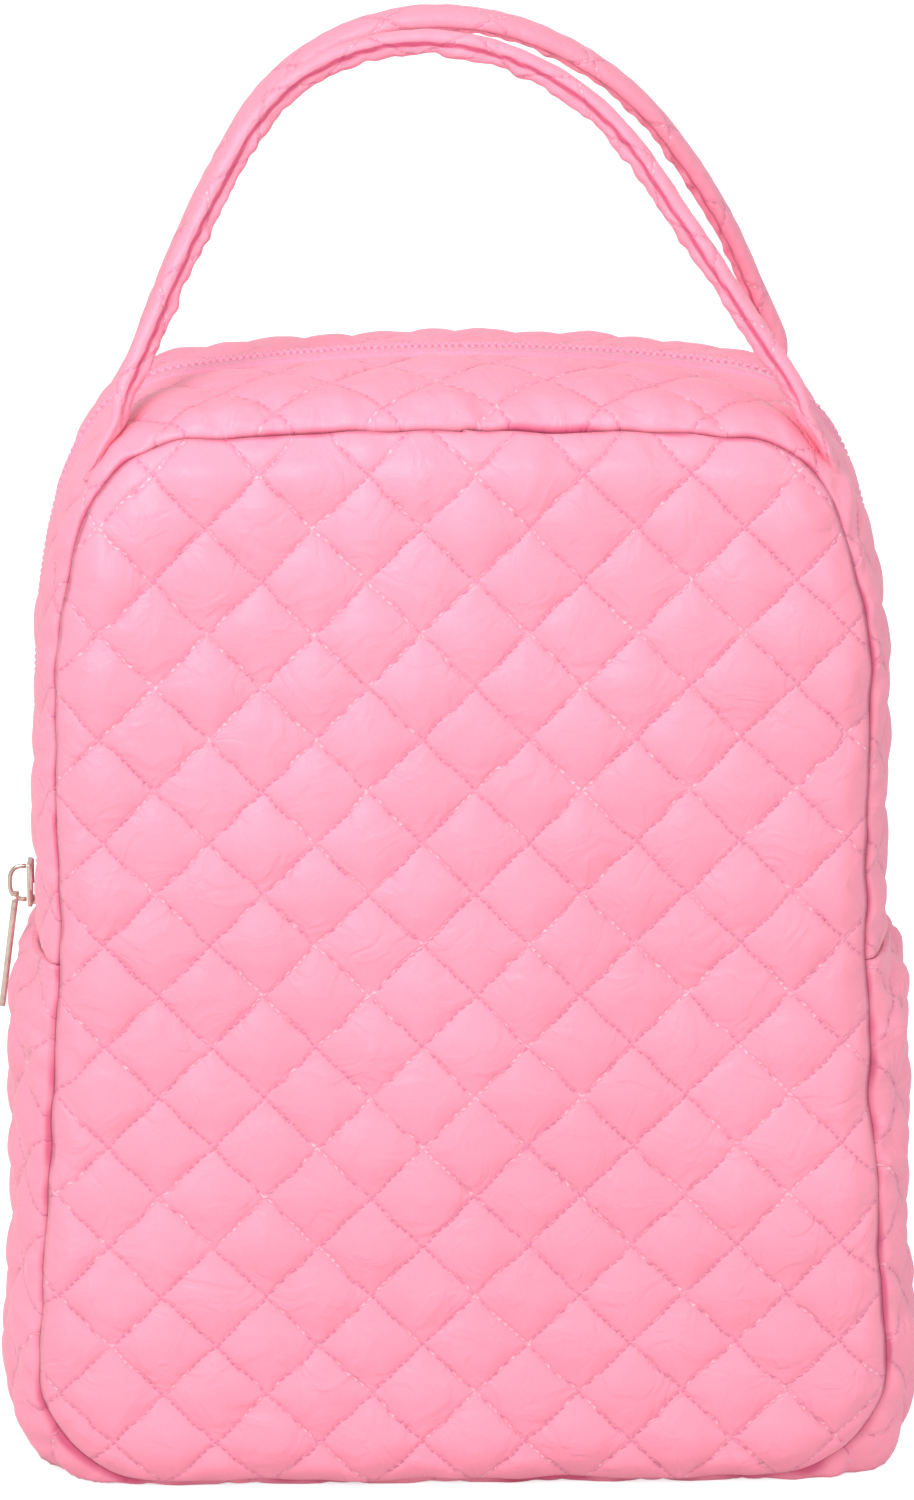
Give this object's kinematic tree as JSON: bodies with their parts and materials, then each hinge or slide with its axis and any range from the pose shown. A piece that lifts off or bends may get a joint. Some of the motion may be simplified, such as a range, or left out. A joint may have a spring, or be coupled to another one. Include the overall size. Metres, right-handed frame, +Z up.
{
  "type": "makeup bag",
  "caption": "Tall quilted fabric makeup bag with rounded shoulders, a zip over the upper half, a gusset round the base and two arched carry handles.",
  "frame": {"origin": "the middle of the flat base, on the surface that the bag stands on", "axes": "+Z up, -Y towards the front panel, +X towards the viewer's right when the front is seen"},
  "size_m": [0.229, 0.104, 0.3522],
  "materials": {
    "quilted_nylon": "pink satin nylon, diamond quilted with tone-on-tone thread",
    "lining_fabric": "smooth pink woven lining",
    "binding_tape": "pink woven binding tape",
    "zip_tape": "ribbed pink woven zip tape",
    "zip_teeth": "pink nylon coil",
    "pale_metal": "pale champagne plated zinc alloy"
  },
  "bodies": {
    "body": {"back_panel": "quilted_nylon", "back_panel_lining": "lining_fabric", "back_seam_binding": "binding_tape", "front_panel_lower": "quilted_nylon", "front_panel_lining_lower": "lining_fabric", "front_seam_binding_lower": "binding_tape", "base_gusset": "quilted_nylon", "base_gusset_lining": "lining_fabric", "rear_zip_strip": "quilted_nylon", "rear_strip_lining": "lining_fabric", "rear_zip_tape": "zip_tape", "rear_zip_teeth": "zip_teeth", "left_zip_stop": "pale_metal", "right_zip_stop": "pale_metal", "rear_left_foot": "quilted_nylon", "rear_right_foot": "quilted_nylon"},
    "front_flap": {"front_panel_upper": "quilted_nylon", "front_panel_lining_upper": "lining_fabric", "front_seam_binding_upper": "binding_tape", "front_zip_strip": "quilted_nylon", "front_strip_lining": "lining_fabric", "front_zip_tape": "zip_tape", "front_zip_teeth": "zip_teeth", "front_left_foot": "quilted_nylon", "front_right_foot": "quilted_nylon"},
    "slider": {"zip_slider": "pale_metal", "slider_bail": "pale_metal"},
    "pull": {"zip_pull": "pale_metal"},
    "front_strap": {"front_handle": "quilted_nylon"},
    "rear_strap": {"rear_handle": "quilted_nylon"}
  },
  "joints": [
    {"name": "flap_fold", "type": "hinge", "parent": "body", "child": "front_flap", "pos_m": [0, -0.052, 0.132], "axis": [1, 0, 0], "range_deg": [0, 80]},
    {"name": "slider_run", "type": "slide", "parent": "body", "child": "slider", "axis": [0, 0, 1], "range_m": [0, 0.05]},
    {"name": "pull_swing", "type": "hinge", "parent": "slider", "child": "pull", "pos_m": [-0.10855, 0, 0.13705], "axis": [0, 1, 0], "range_deg": [0, 120]},
    {"name": "front_handle_turn", "type": "hinge", "parent": "front_flap", "child": "front_strap", "pos_m": [0, -0.038, 0.2666], "axis": [1, 0, 0], "range_deg": [-4, 110]},
    {"name": "rear_handle_turn", "type": "hinge", "parent": "body", "child": "rear_strap", "pos_m": [0, 0.038, 0.2666], "axis": [-1, 0, 0], "range_deg": [-4, 110]}
  ]
}
